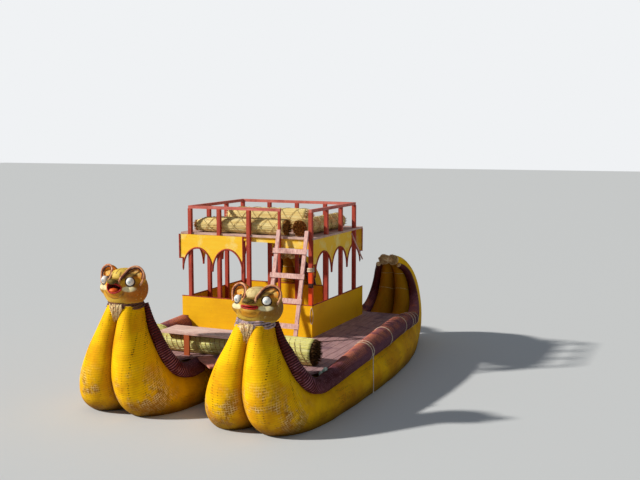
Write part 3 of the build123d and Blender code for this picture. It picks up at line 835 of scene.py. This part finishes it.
# Ropes tied round the rolls and across the sterns' inner faces

ties = {
    "radius": 0.005,
    "places": {"right": (-1.05, -0.95, 0.10, 1.25, 1.9, 2.15, 2.6), "left": (-2.0, -1.2, 2.5)},    # y of each
    "turns": 2,
    "turnStep": 2.1,          # from turn to turn, in radii of the cord
    "slant": 0.012,
    "deckRoll": 1.6,          # the rolls lie lower than this along the deck
    "bowPlace": -2.62,        # a tie on the left roll and a teal knot on the right one
    "bowRadius": 0.009,
    "acrossHeights": (1.55, 1.95),
    "acrossRadius": 0.006,
    "acrossFrom": 44,         # degrees round a bundle where the roll lets go of it
    "acrossLift": (0, -0.010, 0.006),
}


def tieLines(sideName, y, count, lift):
    points, radii = rollLines[sideName]
    deckRows = np.where(points[:, 2] < ties["deckRoll"])[0]
    nearest = deckRows[np.argmin(np.abs(points[deckRows, 1] - y))]
    tangents, sideways, upward = framesAlong(points)
    turns = fullTurn(24)
    tangent = tangents[nearest]
    ring = np.cos(turns)[:, None] * sideways[nearest] + np.sin(turns)[:, None] * upward[nearest]
    ring = ring * (radii[nearest] + lift)
    lines = []
    for number in range(count):
        slant = ties["slant"] * math.sin(number * 2.3)
        middle = points[nearest] + tangent * (number - count / 2) * ties["turnStep"] * ties["radius"]
        lines.append(middle + ring + tangent * (slant * np.cos(turns))[:, None])
    return lines


for sideName, places in ties["places"].items():
    lines = []
    for y in places:
        lines += tieLines(sideName, y, ties["turns"], ties["radius"] * 0.6)
    cordPiece(f"{sideName}RollTies", "reed_dry", lines, ties["radius"], paleRope, closed=True)
cordPiece("leftBowTie", "reed_dry", tieLines("left", ties["bowPlace"], 2, ties["radius"]), ties["bowRadius"],
          paleRope, closed=True)


def acrossLine(sideName, height):
    # from roll to roll over both bundles' inner faces
    halves = []
    for part in ("outer", "inner"):
        grid, turns = bundleGrids[sideName, part]
        stern = np.where(grid[:, -1, 1] > 2.0)[0]
        row = stern[np.argmin(np.abs(grid[stern, -1, 2] - height))]
        halves.append(grid[row, np.degrees(turns[row]) > ties["acrossFrom"]])
    outer, inner = halves
    return np.concatenate([outer, inner[::-1][1:]]) + np.array(ties["acrossLift"])


for sideName in rollLines:
    lines = [acrossLine(sideName, height) for height in ties["acrossHeights"]]
    cordPiece(f"{sideName}SternLashings", "reed_dry", lines, ties["acrossRadius"], netRope)


# A teal knot sits on the inner side of the right roll, in four loops

knot = {
    "side": (-0.55, 0.0, 0.84),    # from the roll's centre line, in radii
    "loops": [                     # middle and half sizes
        ((0.0, 0.0, 0.0), (0.050, 0.045, 0.045)),
        ((-0.045, -0.060, -0.050), (0.040, 0.035, 0.060)),
        ((-0.020, 0.065, 0.010), (0.035, 0.060, 0.035)),
        ((0.060, 0.070, -0.005), (0.040, 0.030, 0.030)),
    ],
}
rightLine, rightRadii = rollLines["right"]
knotAt = tieLines("right", ties["bowPlace"], 1, 0.0)[0].mean(axis=0)
knotAt = knotAt + rightRadii[np.argmin(np.abs(rightLine[:, 1] - knotAt[1]))] * np.array(knot["side"])
knotBlobs = [(tuple(knotAt + np.array(shift)), half) for shift, half in knot["loops"]]
keepPiece(ellipsoidPiece("tealKnot", knotBlobs, tealRope), "reed_dry")


# The loose end of a tie hangs outboard on the right: the points of the solid's route, in metres

ropeTail = {
    "route": [(2.340, -1.052, 1.105), (2.343, -1.049, 0.955), (2.338, -1.041, 0.800), (2.342, -1.034, 0.645),
              (2.340, -1.024, 0.500), (2.340, -1.024, 0.380)],
    "diameter": 0.014,
    "length": 0.725,
}
tailCurve = bpy.data.curves.new("ropeTail", "CURVE")
tailCurve.dimensions = "3D"
tailCurve.bevel_depth = ropeTail["diameter"] / 2
tailCurve.bevel_resolution = 4
tailCurve.use_fill_caps = True
tailLine = tailCurve.splines.new("NURBS")
tailLine.points.add(len(ropeTail["route"]) - 1)
for point, place in zip(tailLine.points, ropeTail["route"]):
    point.co = (*place, 1.0)
tailLine.order_u = 3
tailLine.use_endpoint_u = True
tailLine.resolution_u = 8
tailCurve.materials.append(whiteRope)
tail = keepPiece(addObject("ropeTail", tailCurve), "rope_white", "rope_tail")
print("ties made")


# Heads: carved reed heads, painted, with arched ears over round eyes

head = {
    "neck": (1.25, -3.517),           # x and y of the right neck's middle
    "shift": {"right": (0.04, 0.06), "left": (0.0, 0.0)},    # the right head sits off its neck's middle
    "neckTop": {"right": 2.035, "left": 2.155},
    "blobs": [                        # middle and half sizes
        ((0, 0, 0.25), (0.408, 0.338, 0.325)),
        ((0, -0.10, 0.46), (0.20, 0.17, 0.115)),
        ((0, -0.255, 0.365), (0.165, 0.125, 0.085)),
        ((0, -0.235, 0.235), (0.175, 0.125, 0.085)),
        ((-0.25, -0.13, 0.26), (0.15, 0.14, 0.12)),
        ((0.25, -0.13, 0.26), (0.15, 0.14, 0.12)),
        ((-0.27, -0.02, 0.445), (0.165, 0.05, 0.17)),
        ((0.27, -0.02, 0.445), (0.165, 0.05, 0.17)),
    ],
    "voxel": 0.009,
    "soften": 6,
    "eye": (0.255, -0.215, 0.395),
    "eyeRadius": 0.066,
    "iris": 0.026,
    "tall": {"right": 1.0, "left": 1.07},
    "nose": ((0, -0.375, 0.405), (0.085, 0.055, 0.045)),
    "tongue": ((-0.01, -0.300, 0.258), (0.082, 0.080, 0.034)),
    "earRim": [                       # from the outer side over the top to the inner corner of the eye
        (0.395, -0.135, 0.335), (0.430, -0.085, 0.430), (0.425, -0.065, 0.530), (0.350, -0.060, 0.605),
        (0.255, -0.075, 0.620), (0.175, -0.125, 0.585), (0.125, -0.200, 0.510), (0.105, -0.290, 0.435),
        (0.112, -0.335, 0.375),
    ],
    "rimRadius": 0.017,
    "lineRadius": 0.011,
    "lineInset": 0.17,                # the dark line's way from the rim to the ear's middle
    "earDish": 0.035,
    "mouthMiddle": 0.300,
    "mouthHalf": 0.135,
    "mouthOpen": {"right": 0.018, "left": 0.074},
    "mouthDepth": {"right": 0.03, "left": 0.11},
    "lipRadius": {"right": 0.017, "left": 0.013},
}


def paintOfHead(local, isLeft, openHalf):
    # where each colour is brushed on, worked out in the head's own metres
    x, y, z = local.T
    ax = np.abs(x)
    front = ramp(y, 0.02, -0.06)
    cheek = ramp(x, 0.06, 0.24) * ramp(z, 0.40, 0.30) * ramp(z, 0.02, 0.08)
    jaw = ramp(np.abs(np.hypot(x / 0.22, (z - 0.34) / 0.21) - 1), 0.09, 0.03) * ramp(z, 0.27, 0.22) * front
    forehead = ramp(ax, 0.19, 0.15) * ramp(z, 0.42, 0.46) * front
    strokes = (np.cos(x * 80) > 0.55) * (np.abs(z - 0.515 - 0.03 * np.cos(x * 80 / 3)) < 0.035) * (ax < 0.14)
    away = np.hypot(ax - 0.27, z - 0.45)
    hollow = ramp(away, 0.165, 0.155) * ramp(z, 0.42, 0.45) * ramp(ax, 0.115, 0.14) * ramp(y, 0.02, 0.0)
    brow = ramp(np.abs(away - 0.07), 0.035, 0.02) * ramp(z, 0.44, 0.47) * front
    toEye = np.sqrt((ax - 0.255) ** 2 + (y + 0.215) ** 2 + (z - 0.395) ** 2)
    underEye = ramp(np.hypot((ax - 0.26) / 0.11, (z - 0.285) / 0.045), 1.1, 0.8) * front
    snout = ramp(ax, 0.15, 0.11) * ramp(z, 0.345, 0.365) * ramp(z, 0.47, 0.43) * front
    chin = ramp(ax, 0.17, 0.13) * ramp(z, 0.25, 0.22) * ramp(z, 0.12, 0.16) * front
    mouth = np.hypot(x / head["mouthHalf"], (z - head["mouthMiddle"]) / (openHalf + 0.008))
    layers = [
        ("#946410", ramp(ax, 0.24, 0.36) * ramp(z, 0.40, 0.28) * 0.85),
        ("#F0CC50", ramp(z, 0.17, 0.11) * 0.7),
        # the cheek away from the sun is orange-brown, partly its paint and partly painted shade, and a brown
        # line marks the jaw
        ("#B8660C" if isLeft else "#8C5E12", cheek * 0.85),
        ("#7C4612", jaw * 0.8),
        # forehead, with short dark strokes
        ("#F0CC54" if isLeft else "#E8D090", forehead),
        ("#7C4C14", strokes * front * (0.8 if isLeft else 0.3)),
        # hollow of the ear: brown by the brow, orange by the rim
        ("#7A4A12", hollow),
        ("#FF9A10", hollow * np.maximum(ramp(ax, 0.26, 0.33), x < 0)),
        ("#E2B45C", brow),
        # a pale patch under the eye, and its dark socket
        ("#F2E2AE", underEye),
        ("#24100C", ramp(toEye, 0.096, 0.084)),
        ("#6E4E14", snout),
        ("#C88812", chin),
        ("#5C0808", ramp(mouth, 1.15, 1.0) * ramp(y, -0.15, -0.2)),
    ]
    colour = np.tile(np.array(linear("#DCA01C" if isLeft else "#C6962E")[:3]), (len(local), 1))
    for hexColour, share in layers:
        colour = colour * (1 - share[:, None]) + np.array(linear(hexColour)[:3]) * share[:, None]
    return np.column_stack([colour, np.ones(len(local))])


def headPieces(sideName, side):
    neckX, neckY = head["neck"]
    shiftX, shiftY = head["shift"][sideName]
    offset = np.array([side * neckX + shiftX, neckY + shiftY, head["neckTop"][sideName]])
    stretch = np.array([1, 1, head["tall"][sideName]])

    def placed(local):
        return np.array(local) * stretch + offset

    openHalf, isLeft = head["mouthOpen"][sideName], sideName == "left"
    skin = ellipsoidPiece(f"{sideName}Head", head["blobs"], faceReed)
    remesh = skin.modifiers.new("skin", "REMESH")
    remesh.mode = "VOXEL"
    remesh.voxel_size = head["voxel"]
    remesh.use_smooth_shade = True
    soften = skin.modifiers.new("soften", "SMOOTH")
    soften.iterations = head["soften"]
    bakeModifiers(skin)
    local = np.array([v.co for v in skin.data.vertices])
    local[:, 2] = np.maximum(local[:, 2], 0.0)
    # dish the ears, then open the mouth
    away = np.hypot(np.abs(local[:, 0]) - 0.27, local[:, 2] - 0.46)
    dish = ramp(away, 0.145, 0.10) * (local[:, 1] < -0.02) * ramp(local[:, 2], 0.50, 0.53)
    local[:, 1] += dish * head["earDish"]
    mouth = np.hypot(local[:, 0] / head["mouthHalf"], (local[:, 2] - head["mouthMiddle"]) / openHalf)
    local[:, 1] += head["mouthDepth"][sideName] * ramp(mouth, 1.0, 0.6) * (local[:, 1] < -0.15)
    tree = BVHTree.FromPolygons([Vector(p) for p in local], [tuple(p.vertices) for p in skin.data.polygons])
    paint = skin.data.color_attributes.new("paint", "FLOAT_COLOR", "POINT")
    paint.data.foreach_set("color", paintOfHead(local, isLeft, openHalf).astype(np.float32).ravel())
    skin.data.vertices.foreach_set("co", placed(local).astype(np.float32).ravel())
    skin.data.materials.clear()
    skin.data.materials.append(faceReed)
    skin.data.update()
    keepPiece(skin, "head_reed", f"{sideName}_head")

    # lips follow the skin round the mouth
    lips = []
    for turn in fullTurn(40):
        x = head["mouthHalf"] * 1.04 * math.cos(turn)
        z = head["mouthMiddle"] + (openHalf + 0.006) * math.sin(turn)
        hit = tree.ray_cast(Vector((x, -1, z)), Vector((0, 1, 0)))[0]
        lips.append(placed([x, min(hit.y, -0.2) - 0.002, z]))
    cordPiece(f"{sideName}Lips", "nose_brown", [lips], head["lipRadius"][sideName], lipPaint, True, 8)
    if isLeft:
        keepPiece(ellipsoidPiece("leftTongue", [head["tongue"]], tonguePaint, placed), "nose_brown")
    ex, ey, ez = head["eye"]
    for label, way in (("left", -1), ("right", 1)):
        part, node = f"{sideName}Head{label.title()}", f"{sideName}_head_{label}"
        rim = placed(smoothLine([(way * x, y, z) for x, y, z in head["earRim"]], 0.015))
        cordPiece(part + "EarRim", "ear_rim", [rim], head["rimRadius"], earRimPaint, sides=10,
                  replaced=[node + "_ear"])
        inset = head["lineInset"]
        inner = placed(smoothLine([(way * (x + (0.27 - x) * inset), y - 0.004, z + (0.45 - z) * inset)
                                   for x, y, z in head["earRim"][1:-1]], 0.015))
        cordPiece(part + "EarLine", "ear_rim", [inner], head["lineRadius"], darkLine)
        eyeball = ellipsoidPiece(part + "Eye", [((way * ex, ey, ez), [head["eyeRadius"]] * 3)], eyePaint, placed)
        keepPiece(eyeball, "eye_white", node + "_eye")
        gaze = Vector((way * 0.15, -1, -0.02)).normalized() * (head["eyeRadius"] - 0.007)
        irisBlob = ((way * ex + gaze.x, ey + gaze.y, ez + gaze.z), (head["iris"], 0.012, head["iris"]))
        keepPiece(ellipsoidPiece(part + "Iris", [irisBlob], irisPaint, placed), "eye_white")
    nose = ellipsoidPiece(f"{sideName}HeadNose", [head["nose"]], nosePaint, placed)
    keepPiece(nose, "nose_brown", f"{sideName}_head_nose")


for sideName, side, _ in hullSides:
    headPieces(sideName, side)
print("heads made")


# Collars: rope turns under each head, with a frayed tuft in front

collar = {
    "half": (0.325, 0.285),
    "rope": 0.018,
    "levels": (-0.035, -0.004, 0.028, 0.058),
    "taper": 0.035,           # each turn is smaller than the one below it by this share
    "wave": 0.012,
    "tuftHalf": 0.13,
    "tuftStems": 130,
    "tuftLength": 0.25,
    "stemRadius": 0.007,
    "stemSpread": 0.16,
}


def collarPieces(sideName, side, material):
    middle = np.array([side * head["neck"][0], head["neck"][1] + 0.005, head["neckTop"][sideName]])
    turns = fullTurn(48)
    lines = []
    for number, height in enumerate(collar["levels"]):
        size = 1 - collar["taper"] * number
        lines.append(middle + np.column_stack([collar["half"][0] * size * np.cos(turns),
                                               collar["half"][1] * size * np.sin(turns),
                                               height + collar["wave"] * np.sin(turns * 3 + number)]))
    cordPiece(f"{sideName}Collar", "reed_dry", lines, collar["rope"], material, True, 8)
    pick = random.Random(5 + side)
    points, aims = [], []
    for number in range(collar["tuftStems"]):
        x = pick.uniform(-1, 1) * collar["tuftHalf"]
        points.append(middle + np.array([x, -collar["half"][1] * 1.03, pick.uniform(-0.05, 0.04)]))
        aims.append((-x * 3.2, -0.10 + pick.uniform(0, 0.25), -1.0))
    stemPiece(f"{sideName}Tuft", "reed_dry", points, aims, paleCutReed, collar["tuftLength"],
              collar["stemRadius"], collar["stemSpread"], 3)


collarPieces("right", 1, greyRope)
collarPieces("left", -1, brownRope)
print("collars made")


# Reed rolls on the deck and on the upper floor

reedRolls = {
    "stemsPerMetre": 60,
    "columnsPerStem": 3,
    "rowSpacing": 0.06,
    "stemHeight": 0.006,
    "stray": 0.006,
    "bow": 0.004,
    "fray": {"count": 260, "length": 0.10, "radius": 0.009, "spread": 0.22},
    "cordRadius": 0.005,
    "cordLift": 0.002,
    "cordStep": 0.02,
    "rowsPerRing": 5,         # steps of the cord between two rings
}
floorTop = 3.05
deckTop = 1.10


def reedRoll(name, node, line, radii, material, slotName, netPitch, seed, endMaterial):
    # stems along a straight roll, each standing out by its own amount, under a crossed net of cord,
    # or under rings of cord where the net has no pitch
    line, radii = np.array(line, dtype=float), np.array(radii, dtype=float)
    marks = marksAlong(line)

    def pointsAt(places):
        return np.column_stack([np.interp(places, marks, line[:, axis]) for axis in range(3)])

    along = np.linspace(0, marks[-1], int(marks[-1] / reedRolls["rowSpacing"]) + 1)
    points = pointsAt(along)
    size = np.interp(along, marks, radii)
    stems = int(2 * np.pi * radii.max() * reedRolls["stemsPerMetre"])
    columns = stems * reedRolls["columnsPerStem"]
    pick = np.random.RandomState(seed)
    profile = np.tile([0.0, 1.0, 0.75], stems) * reedRolls["stemHeight"]
    own = np.repeat(pick.uniform(-1, 1, stems), reedRolls["columnsPerStem"]) * reedRolls["stray"]
    bow = np.sin(along[:, None] * 3.0 + np.arange(columns)[None, :] * 0.05) * reedRolls["bow"]
    relief = size[:, None] - reedRolls["stemHeight"] - reedRolls["stray"] + profile + own + bow
    grid = tubeGrid(points, relief, columns)
    keepPiece(gridPiece(name, grid, along, 2 * np.pi * size, material, endMaterial), slotName, node)
    tangents, sideways, upward = framesAlong(points)
    for label, ring, aim in (("First", grid[0], -tangents[0]), ("Last", grid[-1], tangents[-1])):
        endStems(f"{name}{label}Ends", slotName, ring, aim, material=endMaterial, seed=seed,
                 **reedRolls["fray"])
    fine = np.linspace(0, marks[-1], int(marks[-1] / reedRolls["cordStep"]))
    centre = pointsAt(fine)
    away = np.interp(fine, marks, radii) + reedRolls["cordLift"]

    def roundLine(turn, middles, sizes):
        spokes = np.cos(turn)[:, None] * sideways[0] + np.sin(turn)[:, None] * upward[0]
        return middles + spokes * sizes[:, None]

    if netPitch:
        lines = [roundLine(start + way * fine / netPitch * 2 * np.pi, centre, away)
                 for way in (1, -1) for start in fullTurn(3)]
    else:
        ring = fullTurn(32)
        rows = range(3, len(fine) - 3, reedRolls["rowsPerRing"])
        lines = [roundLine(ring, centre[row], np.full(len(ring), away[row])) for row in rows]
    cordPiece(f"{name}Net", slotName, lines, reedRolls["cordRadius"], netRope, closed=not netPitch, sides=5)


# each upper roll's line, its height over the floor, its radii, its net's pitch and its ends
upperRolls = (
    ("front", [(-1.875, -0.105, 0.135), (-1.70, -0.105, 0.155), (-1.45, -0.105, 0.165), (0.125, -0.105, 0.165)],
     [0.115, 0.15, 0.165, 0.165], 0.9, cutReed),
    ("middle", [(-1.775, 1.088, 0.205), (-1.60, 1.088, 0.225), (0.055, 1.088, 0.225)],
     [0.19, 0.225, 0.225], 1.1, paleCutReed),
    ("right", [(0.455, -0.172, 0.165), (0.455, 1.788, 0.165)], [0.165, 0.165], 0.9, cutReed),
)
for seed, (label, line, radii, netPitch, ends) in enumerate(upperRolls, 1):
    reedRoll(f"{label}ReedRoll", f"upper_{label}_roll", [(x, y, floorTop + z) for x, y, z in line], radii,
             dryStraw, "reed_dry", netPitch, seed, ends)
deckRollShape = [(-1.67, 0.190), (-1.59, 0.222), (-1.42, 0.232), (-1.24, 0.180), (-0.90, 0.176),
                 (0.48, 0.177), (0.70, 0.222), (1.00, 0.235), (1.50, 0.235), (1.745, 0.228)]
reedRoll("deckReedRoll", "deck_reed_roll", [(x, -2.302, deckTop + r) for x, r in deckRollShape],
         [r for x, r in deckRollShape], greenStraw, "reed_green", None, 4, brownReed)
print("reed rolls made")


# Brick-red borders on the valances' outer faces and along the panels' tops

borders = {"valanceRadius": 0.019, "panelRadius": 0.013, "topGap": 0.005}


def outlineEdges(node, outward):
    # the outline of a board's outer face without its top edge, as loose edges
    mesh = nodes[node].data
    uses = {}
    for polygon in mesh.polygons:
        if polygon.normal.dot(Vector(outward)) > 0.9:
            corners = [tuple(round(c, 4) for c in mesh.vertices[v].co) for v in polygon.vertices]
            for pair in zip(corners, corners[1:] + corners[:1]):
                key = tuple(sorted(pair))
                uses[key] = uses.get(key, 0) + 1
    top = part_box(node)[1][2] - borders["topGap"]
    return [pair for pair, count in uses.items() if count == 1 and min(pair[0][2], pair[1][2]) < top]


# which way each wall of the cabin looks
wallSides = {"front": (0, -1, 0), "right": (1, 0, 0), "left": (-1, 0, 0), "back": (0, 1, 0)}
for sideName, outward in wallSides.items():
    numbers, edges = {}, []
    for first, second in outlineEdges(f"{sideName}_valance", outward):
        edges.append((numbers.setdefault(first, len(numbers)), numbers.setdefault(second, len(numbers))))
    piece = newPiece(f"{sideName}ValanceBorder", list(numbers), edges, [], redTrim)
    growTree(piece, cordTree, {"Radius": borders["valanceRadius"], "Sides": 8, "Finish": redTrim})
    keepPiece(piece, "paint_red")
panelTops = []
for sideName in wallSides:
    low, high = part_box(f"{sideName}_panel")
    middleX, middleY = (low[0] + high[0]) / 2, (low[1] + high[1]) / 2
    if high[0] - low[0] > high[1] - low[1]:
        panelTops.append([Vector((x, middleY, high[2])) for x in (low[0], high[0])])
    else:
        panelTops.append([Vector((middleX, y, high[2])) for y in (low[1], high[1])])
cordPiece("panelBorders", "paint_red", panelTops, borders["panelRadius"], redTrim)


# A rag's turns and a loop of cord at the front right corner post

cornerTies = {
    "ragHalf": 0.046,
    "ragFoot": 2.40,
    "ragStep": 0.028,
    "ragRadius": 0.014,
    "loopPlace": (0.045, -0.008, 1.53),    # off the post's middle, off the panel's face, and its height
    "loopHalf": (0.03, 0.16),
    "loopRadius": 0.006,
}
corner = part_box("front_post_5")
cornerX, cornerY = (corner[0][0] + corner[1][0]) / 2, (corner[0][1] + corner[1][1]) / 2
ragHalf = cornerTies["ragHalf"]
ragTurns = [[(cornerX + ragHalf * a, cornerY + ragHalf * b, cornerTies["ragFoot"] + cornerTies["ragStep"] * n)
             for a, b in ((-1, -1), (1, -1), (1, 1), (-1, 1))] for n in range(3)]
cordPiece("postTie", "reed_dry", ragTurns, cornerTies["ragRadius"], paleRope, True, 8)
loopX, loopY, loopZ = cornerTies["loopPlace"]
halfX, halfZ = cornerTies["loopHalf"]
cornerLoop = [(cornerX + loopX + halfX * math.cos(t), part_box("front_panel")[0][1] + loopY,
               loopZ + halfZ * math.sin(t)) for t in fullTurn(24)]
cordPiece("cornerLoop", "reed_dry", [cornerLoop], cornerTies["loopRadius"], paleRope, True)
print("borders made")


# CAD pieces that keep their shape and take a finish: the first part of a name that fits decides

finishes = (("rope_knot", whiteRope), ("front_post_5", orangeWood), ("_reed_roll", None), ("deck", greyDeck),
            ("upper_floor", paleFloor), ("bench", paleBoards), ("gangplank", plankBoard),
            ("corner_batten", ladderWood), ("ladder", ladderWood), ("top_rail", redRail), ("_post_", redWood),
            ("_panel", yellowBoard), ("valance", paleYellow), ("fascia_beam", paleYellow))
for name, piece in nodes.items():
    material = next((finish for part, finish in finishes if part in name), None)
    if material:
        piece.data.materials.clear()
        piece.data.materials.append(material)

print("finishes given")
